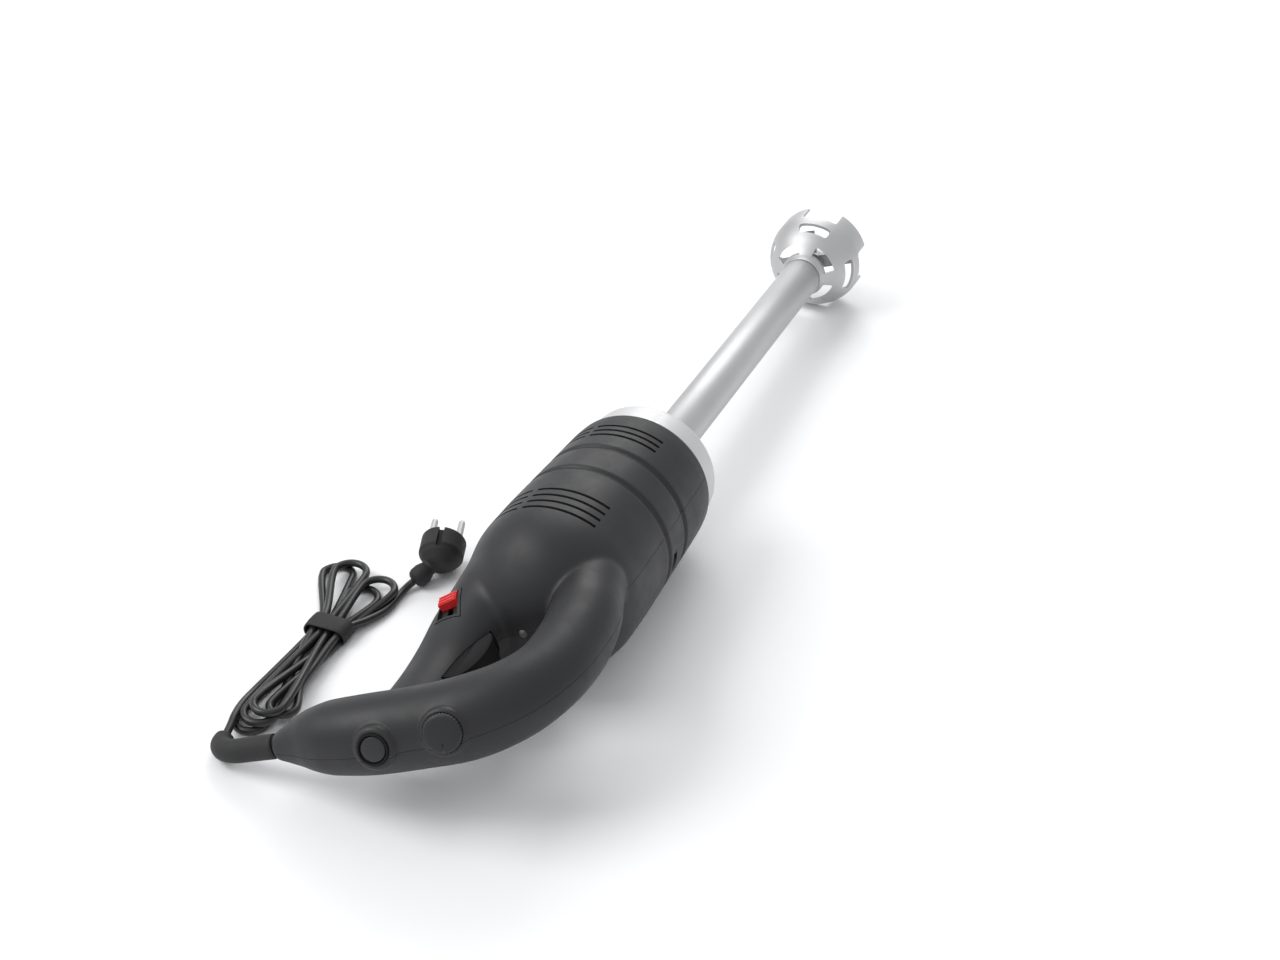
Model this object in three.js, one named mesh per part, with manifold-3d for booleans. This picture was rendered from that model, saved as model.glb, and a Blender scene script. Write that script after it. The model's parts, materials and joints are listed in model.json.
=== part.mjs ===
// A heavy-duty immersion blender lying on its side, with its mains lead tied in a hank beside it.
// Millimetres, +Z up, standing surface at z = 0, origin below the middle of the blender itself.
// Every part of the blender is drawn in the tool's own frame: +X along the shaft towards the bell
// with x = 0 at the housing's front edge, +Y towards the side the lead leaves from, and +Z square
// to the plane of the D-handle, which is also the plane where the two housing shells meet.
import * as THREE from 'three';
import { mergeVertices } from 'three/addons/utils/BufferGeometryUtils.js';
import Module from 'manifold-3d';

const wasm = await Module();
wasm.setup();

// ---------- driving dimensions ----------
const GAP = 0.3;                       // clearance between parts that touch
const ROLL = THREE.MathUtils.degToRad(-20);   // how far the lying blender is rolled to its lead side
const TILT = THREE.MathUtils.degToRad(2.1);   // how far its shaft dips towards the bell
const ROUND = 32;                      // sides of the large turned parts
const SMALL = 14;                      // sides of the small turned parts

const HOUSING = { bodyR: 57.6, domeX: -134, endX: -192, wall: 3, rimR: 46.6 };
const GROOVES = [{ x: -51, r: 55.1 }, { x: -81, r: 56.3 }];  // ring grooves round the housing
const GROOVE = { half: 1.6, depth: 1.8 };
const VENT = { front: [-20.5, -27, -33.5], middle: [-111, -118.5, -126, -133.5], half: 1.2 };
const VENT_GROUPS = { middles: [111, 55, -55, -111], half: 26 };      // degrees round the housing
const TUBE = { outerR: 15.5, innerR: 14, x0: 16.3, x1: 336 };
const BELL = { r: 39, wall: 2, frontX: 389, lobes: 4, lobeAngle: 67, lobeHalf: 23, notchX: 371 };
const SHAFT_R = 5;                     // drive shaft and rotor shaft
const BEARING = { innerR: 5.2, outerR: 13, width: 9 };
const STACK = { x0: -95, x1: -50, r: 43, boreR: 25.6 };     // motor laminations
const CORD_R = 2.6;

// ---------- solids: three.js geometry joined and cut ----------
function toSolid(geometry) {
  const bare = geometry.clone();
  for (const name of Object.keys(bare.attributes)) {
    if (name !== 'position') bare.deleteAttribute(name);
  }
  const merged = mergeVertices(bare, 1e-4);
  const source = merged.index.array;
  const triangles = [];
  for (let i = 0; i < source.length; i += 3) {
    const [a, b, c] = [source[i], source[i + 1], source[i + 2]];
    if (a !== b && b !== c && c !== a) triangles.push(a, b, c);
  }
  const position = merged.attributes.position;
  if (signedVolume(position, triangles) < 0) triangles.reverse();
  return new wasm.Manifold(new wasm.Mesh({
    numProp: 3,
    vertProperties: new Float32Array(position.array),
    triVerts: new Uint32Array(triangles),
  }));
}

function signedVolume(position, triangles) {
  const [a, b, c] = [new THREE.Vector3(), new THREE.Vector3(), new THREE.Vector3()];
  let volume = 0;
  for (let i = 0; i < triangles.length; i += 3) {
    a.fromBufferAttribute(position, triangles[i]);
    b.fromBufferAttribute(position, triangles[i + 1]);
    c.fromBufferAttribute(position, triangles[i + 2]);
    volume += a.dot(b.cross(c)) / 6;
  }
  return volume;
}

function toGeometry(solid) {
  const mesh = solid.getMesh();
  const geometry = new THREE.BufferGeometry();
  geometry.setAttribute('position', new THREE.BufferAttribute(new Float32Array(mesh.vertProperties), 3));
  geometry.setIndex(new THREE.BufferAttribute(new Uint32Array(mesh.triVerts), 1));
  return geometry;
}

const join = (...parts) => toGeometry(parts.map(toSolid).reduce((a, b) => a.add(b)));
const cut = (body, ...tools) => toGeometry(tools.map(toSolid).reduce((a, b) => a.subtract(b), toSolid(body)));
const common = (a, b) => toGeometry(toSolid(a).intersect(toSolid(b)));

// A body of revolution about X from [x, radius] points; it starts and ends on the axis or closes.
function turned(points, sides = SMALL) {
  const onAxis = points[0][1] === 0 && points.at(-1)[1] === 0;
  const profile = points.map(([x, r]) => new THREE.Vector2(r, x));
  if (!onAxis) profile.push(profile[0].clone());
  return new THREE.LatheGeometry(profile, sides).rotateZ(-Math.PI / 2);
}

const disc = (x0, x1, r, sides) => turned([[x0, 0], [x0, r], [x1, r], [x1, 0]], sides);
const ring = (x0, x1, outerR, innerR, sides) =>
  turned([[x0, innerR], [x0, outerR], [x1, outerR], [x1, innerR]], sides);

function block(x0, x1, y0, y1, z0, z1) {
  return new THREE.BoxGeometry(x1 - x0, y1 - y0, z1 - z0)
    .translate((x0 + x1) / 2, (y0 + y1) / 2, (z0 + z1) / 2);
}

// An upright cylinder along Z.
function post(x, y, z0, z1, r, sides = SMALL) {
  return new THREE.CylinderGeometry(r, r, z1 - z0, sides)
    .rotateX(Math.PI / 2)
    .translate(x, y, (z0 + z1) / 2);
}

// A plate in the X-Y plane, from its outline.
function plate(outline, z0, z1) {
  const shape = new THREE.Shape(outline.map(([x, y]) => new THREE.Vector2(x, y)));
  return new THREE.ExtrudeGeometry(shape, { depth: z1 - z0, bevelEnabled: false, curveSegments: 8 })
    .translate(0, 0, z0);
}

const ALONG_X = new THREE.Matrix4().makeBasis(
  new THREE.Vector3(0, 1, 0), new THREE.Vector3(0, 0, 1), new THREE.Vector3(1, 0, 0));

// Part of a ring about X between two angles, which run from +Y towards +Z in degrees.
function sector(x0, x1, innerR, outerR, middle, half, steps = 8) {
  const from = THREE.MathUtils.degToRad(middle - half);
  const to = THREE.MathUtils.degToRad(middle + half);
  const shape = new THREE.Shape();
  shape.absarc(0, 0, outerR, from, to, false);
  shape.absarc(0, 0, innerR, to, from, true);
  return new THREE.ExtrudeGeometry(shape, { depth: x1 - x0, bevelEnabled: false, curveSegments: steps })
    .applyMatrix4(ALONG_X)
    .translate(x0, 0, 0);
}

// A skin over rings of points, closed by a flat cap at each end.
function loft(rings) {
  const sides = rings[0].length;
  const positions = [];
  const faces = [];
  for (const points of rings) {
    for (const p of points) positions.push(p.x, p.y, p.z);
  }
  for (let r = 0; r + 1 < rings.length; r += 1) {
    for (let s = 0; s < sides; s += 1) {
      const [a, b] = [r * sides + s, r * sides + (s + 1) % sides];
      faces.push(a, b, b + sides, a, b + sides, a + sides);
    }
  }
  const last = (rings.length - 1) * sides;
  for (let s = 1; s + 1 < sides; s += 1) {
    faces.push(0, s + 1, s, last, last + s, last + s + 1);
  }
  const geometry = new THREE.BufferGeometry();
  geometry.setAttribute('position', new THREE.Float32BufferAttribute(positions, 3));
  geometry.setIndex(faces);
  return geometry;
}

// The place of something fitted square to a surface: local +Z is the surface's normal.
function frameAt(origin, normal, along) {
  const z = normal.clone().normalize();
  const x = along.clone().addScaledVector(z, -along.dot(z)).normalize();
  const y = new THREE.Vector3().crossVectors(z, x);
  return new THREE.Matrix4().makeBasis(x, y, z).setPosition(origin);
}

// A compression spring along local +Z.
function coilSpring(radius, wire, length, turns) {
  class Helix extends THREE.Curve {
    getPoint(t, target = new THREE.Vector3()) {
      const angle = t * turns * 2 * Math.PI;
      return target.set(radius * Math.cos(angle), radius * Math.sin(angle), wire + t * (length - 2 * wire));
    }
  }
  const section = new THREE.Shape();
  section.absarc(0, 0, wire, 0, 2 * Math.PI, false);
  return new THREE.ExtrudeGeometry(section, {
    steps: turns * 7, curveSegments: 2, bevelEnabled: false, extrudePath: new Helix() });
}

// ---------- finishes ----------
const finish = (color, roughness, metalness) =>
  () => new THREE.MeshStandardMaterial({ color, roughness, metalness });
const blackPlastic = finish(0x2b2b2e, 0.55, 0);
const redPlastic = finish(0xc4161c, 0.35, 0);
const insulator = finish(0x5c4a33, 0.6, 0);
const rubber = finish(0x1b1b1c, 0.8, 0);
const steel = finish(0xc3c4c6, 0.3, 1);
const aluminium = finish(0xd9dadc, 0.4, 1);
const copper = finish(0xb0673a, 0.4, 1);
const iron = finish(0x6c6d70, 0.5, 1);
const brass = finish(0xc2a257, 0.35, 1);
const carbon = finish(0x26262a, 0.7, 0);
const circuitGreen = finish(0x27603b, 0.5, 0);

const tool = new THREE.Group();
const table = new THREE.Group();

function add(name, geometry, material, group = tool) {
  const mesh = new THREE.Mesh(geometry, material());
  mesh.name = name;
  group.add(mesh);
  return mesh;
}

// ---------- the housing's outer form ----------
const ellipsePoint = (angle, a, b) => [a * Math.cos(angle), b * Math.sin(angle)];

function bodyProfile() {
  const r = HOUSING.bodyR;
  const points = [[0, 0], [0, 49.5], [-1.2, 51.4], [-4, 52.6], [-12, 53.6], [-30, 54.4]];
  for (const { x, r: rim } of GROOVES) {
    points.push([x + GROOVE.half + 0.5, rim], [x + GROOVE.half, rim - GROOVE.depth],
      [x - GROOVE.half, rim - GROOVE.depth], [x - GROOVE.half - 0.5, rim]);
  }
  points.push([-106, 57.2]);
  return points.concat(domeProfile(r, HOUSING.domeX - HOUSING.endX));
}

// The quarter ellipse that closes the housing's rear end.
function domeProfile(r, length) {
  const points = [];
  const steps = 6;
  for (let i = 0; i <= steps; i += 1) {
    const [across, back] = ellipsePoint((i / steps) * Math.PI / 2, r, length);
    points.push([HOUSING.domeX - back, i === steps ? 0 : across]);
  }
  return points;
}

// The mouth of the housing, with the groove that holds the nose.
const mouthProfile = () => [[5, 0], [5, HOUSING.rimR], [-6, HOUSING.rimR], [-6, 49.8], [-10.6, 49.8],
  [-10.6, HOUSING.rimR], [-12.4, HOUSING.rimR], [-12.4, 0]];

// The room behind the mouth, with its two ribs round the motor.
function cavityProfile() {
  const inner = HOUSING.bodyR - HOUSING.wall;
  return [[-12.3, 0], [-12.3, 50.8], [-53, 51.6], [-53, STACK.r + GAP], [-57, STACK.r + GAP], [-57, 52.6],
    [-88, 53.2], [-88, STACK.r + GAP], [-92, STACK.r + GAP], [-92, 53.6],
    ...domeProfile(inner, HOUSING.domeX - HOUSING.endX - HOUSING.wall)];
}

// Sections of the web that carries the housing into the handle: x, middle y, half width, half height.
const SPINE = [[-96, 0, 53, 53], [-128, 7, 49, 50], [-150, 18, 40, 43], [-170, 27, 33, 34],
  [-195, 35, 26, 25], [-220, 38, 21, 17], [-245, 37, 20, 14], [-286, 36, 20, 13]];

function spine(inset, steps, sides) {
  const middle = new THREE.CatmullRomCurve3(SPINE.map(([x, y]) => new THREE.Vector3(x, y, 0)));
  const size = new THREE.CatmullRomCurve3(SPINE.map(([x, , a, b]) => new THREE.Vector3(x, a, b)));
  const rings = [];
  for (let i = 0; i <= steps; i += 1) {
    const c = middle.getPoint(i / steps);
    const s = size.getPoint(i / steps);
    const points = [];
    for (let k = 0; k < sides; k += 1) {
      const [y, z] = ellipsePoint((k / sides) * 2 * Math.PI, s.y - inset, s.z - inset);
      points.push(new THREE.Vector3(c.x, c.y + y, z));
    }
    rings.push(points);
  }
  return loft(rings);
}

// The grip: centre line x, y, z and radius, from its blunt root in the housing round the elbow to the lead.
const GRIP = [[-139, -33, 8, 13], [-144, -34.6, 8, 19.2], [-152, -37, 8, 22], [-164, -40.5, 7, 22],
  [-182, -45.5, 4, 22.8], [-207, -48, 1, 23.2], [-238, -46, 0, 22.8], [-262, -34, 0, 24],
  [-279, -12, 0, 25], [-288, 17, 0, 24.5], [-294, 47, 0, 24.3], [-297, 74, 0, 22.6],
  [-299, 90, 0, 18.6], [-302, 101, 0, 13.4], [-304.6, 110, 0, 9.2], [-304.9, 112, 0, 8.4]];

function gripRings(inset, count, sides) {
  const line = new THREE.CatmullRomCurve3(GRIP.map(([x, y, z]) => new THREE.Vector3(x, y, z)));
  const radius = new THREE.CatmullRomCurve3(GRIP.map(([, , , r], i) => new THREE.Vector3(i, r, 0)));
  const rings = [];
  for (let i = 0; i <= count; i += 1) {
    const c = line.getPoint(i / count);
    const along = line.getTangent(i / count);
    const side = new THREE.Vector3(-along.y, along.x, 0).normalize();
    const r = radius.getPoint(i / count).y - inset;
    const points = [];
    for (let k = 0; k < sides; k += 1) {
      const [across, up] = ellipsePoint((k / sides) * 2 * Math.PI, r, r);
      points.push(c.clone().addScaledVector(side, across).setZ(c.z + up));
    }
    rings.push(points);
  }
  return rings;
}

const vector = (x, y, z) => new THREE.Vector3(x, y, z);

// Buttons and dials sit on short bosses; each has a frame whose +Z points out of the grip.
const START = frameAt(vector(-314.2, 31, 5), vector(-0.93, -0.22, 0.3), vector(0, 1, 0));
const SPEED = frameAt(vector(-303.2, -11, 7), vector(-0.89, -0.33, 0.33), vector(0, 1, 0));
const LOCK = frameAt(vector(-198.8, 39.2, 22.6), vector(-0.22, 0.18, 0.96), vector(-0.93, -0.3, -0.2));
const placed = (geometry, frame) => geometry.clone().applyMatrix4(frame);

// A body of revolution about Z, for what fits a frame.
const upright = (points, sides = SMALL) => turned(points, sides).rotateY(-Math.PI / 2);

// ---------- housing shells ----------
const SCREWS = [{ x: -72, y: 49.6, seat: -16 }, { x: -72, y: -49.6, seat: -16 },
  { x: -252, y: 47, seat: -6 }, { x: -222, y: -49, seat: -10 }, { x: -298, y: 66, seat: -10 }];
const SCREW = { headR: 3.6, shankR: 2, postR: 5.8, tip: 9 };
const PIVOT = { x: -205, y: 20, r: 2, half: 12.5 };
const TRIGGER_HALF = 8;
const TRAY_END = 6;                    // front end of the lock slide's tray, along its own X
const TRAY_HALF = 9;
const LAMP = { y: -4, r: 3 };
const BOOT_NECK_R = 5.9;

function ventCutters(xs) {
  const cutters = [];
  for (const middle of VENT_GROUPS.middles) {
    for (const x of xs) {
      cutters.push(sector(x - VENT.half, x + VENT.half, 44.5, 62, middle, VENT_GROUPS.half, 3));
    }
  }
  return cutters;
}

function housing() {
  const outer = join(turned(bodyProfile(), ROUND), spine(0, 9, 22), loft(gripRings(0, 22, 20)),
    placed(upright([[-14, 0], [-14, 13.5], [3.4, 13.5], [4.4, 12.6], [4.4, 0]], 20), START),
    placed(upright([[-14, 0], [-14, 14.5], [1.6, 14.5], [2.4, 13.8], [2.4, 0]], 20), SPEED));
  const room = join(turned(mouthProfile(), ROUND), turned(cavityProfile(), 24), spine(HOUSING.wall, 6, 14),
    loft(gripRings(HOUSING.wall, 15, 12)));
  const posts = [];
  const holes = [];
  for (const { x, y, seat } of SCREWS) {
    posts.push(post(x, y, -60, 60, SCREW.postR, 8));
    holes.push(post(x, y, -70, seat, SCREW.headR + GAP, 12), post(x, y, seat - 1, SCREW.tip + 1,
      SCREW.shankR + GAP, 12));
  }
  posts.push(post(PIVOT.x, PIVOT.y, TRIGGER_HALF + 0.7, 30, 5, 12),
    post(PIVOT.x, PIVOT.y, -30, -TRIGGER_HALF - 0.7, 5, 12));
  holes.push(post(PIVOT.x, PIVOT.y, -PIVOT.half - GAP, PIVOT.half + GAP, PIVOT.r + GAP, 12),
    block(-249.6, -199.2, -8, 28, -TRIGGER_HALF - 0.4, TRIGGER_HALF + 0.4),
    disc(-200, -180, LAMP.r + GAP, 12).translate(0, LAMP.y, 0),
    post(0, 0, -12, 12, BOOT_NECK_R + GAP, 12).rotateX(Math.PI / 2).translate(-305, 108, 0),
    placed(block(-17.3, TRAY_END + GAP, -TRAY_HALF - GAP, TRAY_HALF + GAP, -4.5, 12), LOCK),
    placed(block(-13, TRAY_END - 3.7, -2.6, 2.6, -9, 0), LOCK),
    placed(upright([[-25, 0], [-25, 8.3], [1.9, 8.3], [1.9, 10.1], [9, 10.1], [9, 0]], 20), START),
    placed(upright([[-12, 0], [-12, 3.4], [-2, 3.4], [-2, 12.2], [9, 12.2], [9, 0]], 20), SPEED));
  const walls = join(cut(outer, room), common(join(...posts), outer));
  return cut(walls, ...holes, ...ventCutters(VENT.front), ...ventCutters(VENT.middle));
}

const HALF_SEAM = GAP / 2;
const shell = housing();
add('housing_upper', common(shell, block(-400, 100, -200, 200, HALF_SEAM, 200)), blackPlastic);
add('housing_lower', common(shell, block(-400, 100, -200, 200, -200, -HALF_SEAM)), blackPlastic);
for (const [i, { x, y, seat }] of SCREWS.entries()) {
  add(`housing_screw_${i + 1}`, join(post(x, y, seat - 2.6, seat - GAP, SCREW.headR, 12),
    post(x, y, seat - 1, SCREW.tip, SCREW.shankR, 12)), steel);
}
add('indicator_lens', turned([[-193.4, 0], [-193, 1.6], [-191.6, LAMP.r], [-184, LAMP.r], [-184, 0]], 12)
  .translate(0, LAMP.y, 0), finish(0xd8d8d0, 0.2, 0));

// ---------- nose, shaft tube and bell ----------
add('front_nose', turned([[-20, BEARING.outerR + GAP], [-20, 17.5], [-10.3, 17.5], [-10.3, 49.5],
  [-6.3, 49.5], [-6.3, 46.3], [GAP, 46.3], [GAP, 48.5], [17.5, 48.5], [19.6, 47.4], [20.6, 45], [20.6, 28],
  [22, 24.4], [27, 23], [27, TUBE.outerR + GAP], [16, TUBE.outerR + GAP], [16, BEARING.outerR + GAP],
  [4, BEARING.outerR + GAP], [4, 9], [-10, 9], [-10, BEARING.outerR + GAP]], ROUND), aluminium);
add('shaft_tube', ring(TUBE.x0, TUBE.x1, TUBE.outerR, TUBE.innerR, 28), steel);

function bell() {
  const inner = BELL.r - BELL.wall;
  const skin = turned([[306, 11.8], [306, 13.7], [TUBE.x1 + GAP, 13.7], [TUBE.x1 + GAP, 16.2], [340, 17.6],
    [344, 21.5], [349, 27.5], [355, 32.5], [362, 36.3], [370, 38.6], [378, BELL.r], [BELL.frontX, BELL.r],
    [BELL.frontX, inner], [378, inner], [370, 36.5], [362, 34.1], [355, 30], [349, 24.6], [344.5, 18.8],
    [343, 11.8]], ROUND);
  const cutters = [];
  for (let i = 0; i < BELL.lobes; i += 1) {
    const lobe = BELL.lobeAngle + (i * 360) / BELL.lobes;
    const gap = lobe + 180 / BELL.lobes;
    cutters.push(sector(BELL.notchX, 400, 30, 45, gap, 45 - BELL.lobeHalf, 4));
    cutters.push(sector(354.5, 362.5, 28, 45, gap, 22, 4));
    cutters.push(sector(330, 360, 18.2, 25, lobe, 29, 5));
  }
  return cut(skin, ...cutters);
}
add('bell', bell(), steel);

// ---------- drive line ----------
const hexagon = (x0, x1, r) => disc(x0, x1, r, 6);
add('drive_shaft', join(hexagon(-3.2, 4, SHAFT_R), disc(3.4, 379, SHAFT_R)), steel);
add('drive_bearing', ring(5, 5 + BEARING.width, BEARING.outerR, BEARING.innerR, 18), steel);
add('shaft_mid_bush', ring(160, 172, TUBE.innerR - GAP, BEARING.innerR), rubber);
add('bell_bush', ring(314, 330, 11.5, BEARING.innerR), brass);
add('lip_seal', ring(331, 337.5, 11.5, BEARING.innerR), rubber);

function blade() {
  const parts = [disc(364, 371, 9)];
  for (const side of [0, 1]) {
    parts.push(block(-1.1, 1.1, 6, 33, -6.5, 6.5).rotateY(0.3).translate(367.5, 0, 0)
      .rotateX(side * Math.PI));
    parts.push(block(-1.1, 1.1, 6, 26, -5, 5).rotateZ(-0.35).translate(366, 0, 0)
      .rotateX((side + 0.5) * Math.PI));
  }
  return cut(join(...parts), disc(360, 380, SHAFT_R + GAP));
}
add('blade', blade(), steel);
add('blade_nut', cut(hexagon(371.3, 377, 8), disc(370, 380, SHAFT_R + GAP)), steel);
add('coupling_socket', cut(disc(-9.7, 3, 8.4), disc(-11, -3.5, SHAFT_R + GAP),
  hexagon(-4, 4, SHAFT_R + 0.35)), steel);

// ---------- motor ----------
const rotorBore = SHAFT_R + GAP;

function statorCore() {
  const { x0, x1, r, boreR } = STACK;
  const yoke = cut(common(disc(x0, x1, r, 24), block(x0, x1, -39.5, 39.5, -50, 50)),
    common(block(x0 - 1, x1 + 1, -33, 33, -33, 33), disc(x0 - 1, x1 + 1, 38.5, 24)));
  const poles = [];
  for (const side of [1, -1]) {
    poles.push(side > 0 ? block(x0, x1, -11, 11, 24, 36) : block(x0, x1, -11, 11, -36, -24));
    poles.push(sector(x0, x1, 25, 28.4, side * 90, 56, 5));
  }
  return cut(join(yoke, ...poles), disc(x0 - 1, x1 + 1, boreR, 24));
}
add('stator_core', statorCore(), iron);

function fieldCoil() {
  const middle = (STACK.x0 + STACK.x1) / 2;
  const half = (STACK.x1 - STACK.x0) / 2 + GAP;
  const outer = block(middle - half - 8.5, middle + half + 8.5, -20, 20, 28.9, 32.6);
  return cut(outer, block(middle - half, middle + half, -11.4, 11.4, 20, 40));
}
add('field_coil_upper', fieldCoil(), copper);
add('field_coil_lower', fieldCoil(), copper).rotation.x = Math.PI;

function armatureCore() {
  const slots = [];
  for (let i = 0; i < 12; i += 1) {
    slots.push(block(STACK.x0 - 1, STACK.x1 + 1, -1.6, 1.6, 17, 27).rotateX((i * Math.PI) / 6));
  }
  return cut(disc(STACK.x0, STACK.x1, STACK.boreR - 0.6, 24), ...slots, disc(-100, -40, rotorBore));
}
add('rotor_shaft', disc(-149, -3.8, SHAFT_R), steel);
add('armature_core', armatureCore(), iron);
add('winding_front', turned([[-49.7, rotorBore], [-49.7, 22], [-46, 23.5], [-42, 20],
  [-41.5, rotorBore]], 16), copper);
add('winding_rear', turned([[-104, rotorBore], [-103.5, 20], [-99, 23.5], [-95.3, 22],
  [-95.3, rotorBore]], 16), copper);
add('commutator', ring(-124, -104.3, 12, rotorBore, 18), copper);

function coolingFan() {
  const blades = [];
  for (let i = 0; i < 9; i += 1) {
    blades.push(block(-36, -24.6, -0.8, 0.8, 8, 39.5).rotateX((i * 2 * Math.PI) / 9));
  }
  return cut(join(disc(-25.8, -24, 40, 24), disc(-36, -24, 10), ...blades), disc(-40, -20, rotorBore));
}
add('cooling_fan', coolingFan(), blackPlastic);
add('fan_baffle', ring(-40.6, -38.6, 44, 30, 24), insulator);
add('front_bearing', ring(-19.7, -19.7 + BEARING.width, BEARING.outerR, BEARING.innerR, 18), steel);
add('rear_bearing', ring(-147, -147 + BEARING.width, BEARING.outerR, BEARING.innerR, 18), steel);

function brushPlate() {
  const bearingR = BEARING.outerR + GAP;
  const plateBody = turned([[-149, bearingR], [-149, 19], [-137, 19], [-137, 48], [-133.5, 48], [-133.5, 8],
    [-137.3, 8], [-137.3, bearingR]], 24);
  const arms = [block(-134, -120.3, 26, 36, -4.5, 4.5), block(-134, -120.3, -36, -26, -4.5, 4.5)];
  const windows = [45, 135, 225, 315].map((angle) => sector(-140, -130, 24, 43, angle, 30, 4));
  return cut(join(plateBody, ...arms), ...windows);
}
add('brush_plate', brushPlate(), insulator);
for (const [name, turn] of [['left', 0], ['right', Math.PI]]) {
  const holder = cut(block(-120, -108, 14, 38, -6, 6), block(-117.3, -110.7, 10, 40, -4.3, 4.3));
  add(`brush_holder_${name}`, holder, brass).rotation.x = turn;
  add(`carbon_brush_${name}`, block(-117, -111, 12.4, 30, -4, 4), carbon).rotation.x = turn;
}

// ---------- trigger, lock slide, start button and speed dial ----------
function trigger() {
  const outline = [[-200.6, 22], [-200.8, 13], [-207, 7.4], [-216, 4.6], [-227, 4], [-238, 5.6],
    [-246.5, 10.5], [-248.6, 17], [-247.4, 23.4], [-226, 25], [-203, 25.4]];
  return cut(plate(outline, -TRIGGER_HALF, TRIGGER_HALF), post(PIVOT.x, PIVOT.y, -20, 20, PIVOT.r + GAP, 12));
}
add('trigger', trigger(), blackPlastic);
add('trigger_pin', post(PIVOT.x, PIVOT.y, -PIVOT.half, PIVOT.half, PIVOT.r, 12), steel);
add('trigger_switch', block(-238, -211, 34, 45, -6.5, 6.5), blackPlastic);
const triggerSpring = add('trigger_spring', coilSpring(3, 0.6, 7.6, 4), steel);
triggerSpring.position.set(-216, 25.9, 0);
triggerSpring.rotation.x = -Math.PI / 2;

function addFitted(name, geometry, frame, material) {
  return add(name, placed(geometry, frame), material);
}
// The tray's top follows the web's surface, a little proud of it.
function lockTray() {
  const box = placed(block(-17, TRAY_END, -TRAY_HALF, TRAY_HALF, -4.2, 3), LOCK);
  const pocket = placed(block(-15.5, TRAY_END - 1.5, -TRAY_HALF + 1.8, TRAY_HALF - 1.8, -2.6, 5), LOCK);
  const slot = placed(block(-12.7, TRAY_END - 4, -2.2, 2.2, -6, 0), LOCK);
  return cut(common(box, spine(-0.6, 9, 22)), pocket, slot);
}
add('lock_tray', lockTray(), blackPlastic);
addFitted('lock_slide', join(block(-14.8, -6.2, -6.5, 6.5, -2.3, 4), block(-12.4, -8.8, -1.8, 1.8, -6.2, -2)),
  LOCK, redPlastic);
addFitted('lock_switch', block(-13, 7, -4.5, 4.5, -13, -6.8), LOCK, blackPlastic);

addFitted('start_button', upright([[-10, 0], [-10, 7.9], [4.6, 7.9], [5.4, 7.2], [5.8, 4], [5.9, 0]], 20),
  START, blackPlastic);
addFitted('start_button_ring', upright([[2.2, 8.3], [2.2, 9.8], [5.2, 9.8], [5.8, 9.1], [5.2, 8.3]], 20),
  START, rubber);
addFitted('start_spring', coilSpring(5, 0.6, 6.8, 3).translate(0, 0, -17.2), START, steel);
addFitted('start_switch', block(-6, 6, -6, 6, -25, -17.6), START, blackPlastic);

addFitted('speed_dial', join(
  upright([[-1.7, 0], [-1.7, 11.8], [4, 11.8], [5.6, 10.2], [6.2, 6], [6.4, 0]], 20),
  upright([[-14, 0], [-14, 3], [-1, 3], [-1, 0]], 12)), SPEED, blackPlastic);
addFitted('speed_potentiometer', upright([[-20, 3.3], [-20, 8.5], [-12.5, 8.5], [-12.5, 3.3]], 16),
  SPEED, insulator);
add('speed_board', block(-298, -282, 0, 54, -13.6, -12), circuitGreen);
add('suppressor', disc(-182, -154, 8.5, 16).translate(0, 24, -8), insulator);

// ---------- strain relief ----------
// A rubber boot that leaves the handle along +Y and curls back beside it; x, y, z and radius.
const BOOT = [[-304.6, 98, 0, 6.9], [-304.7, 100.8, 0, 6.9], [-304.8, 101.2, 0, BOOT_NECK_R],
  [-305, 113.7, 0, BOOT_NECK_R], [-305.1, 114.1, 0, 7.8], [-306.4, 131, -0.8, 7.7],
  [-307.2, 145, -1.6, 7.5], [-305, 154.5, -2, 7.3], [-300, 160.5, -2, 7], [-293, 162.8, -2, 6]];

function boot() {
  const points = BOOT.map(([x, y, z]) => vector(x, y, z));
  return loft(points.map((p, i) => {
    const next = points[Math.min(i + 1, points.length - 1)];
    const along = next.clone().sub(points[Math.max(i - 1, 0)]).normalize();
    const side = new THREE.Vector3().crossVectors(vector(0, 0, 1), along).normalize();
    const up = new THREE.Vector3().crossVectors(along, side);
    const section = [];
    for (let k = 0; k < 12; k += 1) {
      const [across, above] = ellipsePoint((k / 12) * 2 * Math.PI, BOOT[i][3], BOOT[i][3]);
      section.push(p.clone().addScaledVector(side, across).addScaledVector(up, above));
    }
    return section;
  }));
}
add('strain_relief', boot(), rubber);
add('cord_clamp', block(-308, -291, 82, 90, 3, 8), blackPlastic);

// ---------- lead, hank and plug, lying on the table ----------
// These are drawn over the table, with the housing's front edge above x = y = 0.
const HANK = { left: [-268, 143, 16], waist: [-177, 148, 13], right: [-137, 156, 27], z0: 1.8, z1: 14 };

function hank() {
  const shape = new THREE.Shape();
  const [lx, ly, lr] = HANK.left;
  const [wx, wy, wr] = HANK.waist;
  const [rx, ry, rr] = HANK.right;
  shape.absarc(lx, ly, lr, Math.PI / 2, (3 * Math.PI) / 2, false);
  shape.lineTo(wx, wy - wr);
  shape.absarc(rx, ry, rr, -Math.PI / 2, Math.PI / 2, false);
  shape.lineTo(wx, wy + wr);
  return new THREE.ExtrudeGeometry(shape, { depth: HANK.z1 - HANK.z0, bevelEnabled: false, curveSegments: 8 })
    .translate(0, 0, HANK.z0);
}
add('cord_hank', hank(), rubber, table);

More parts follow.
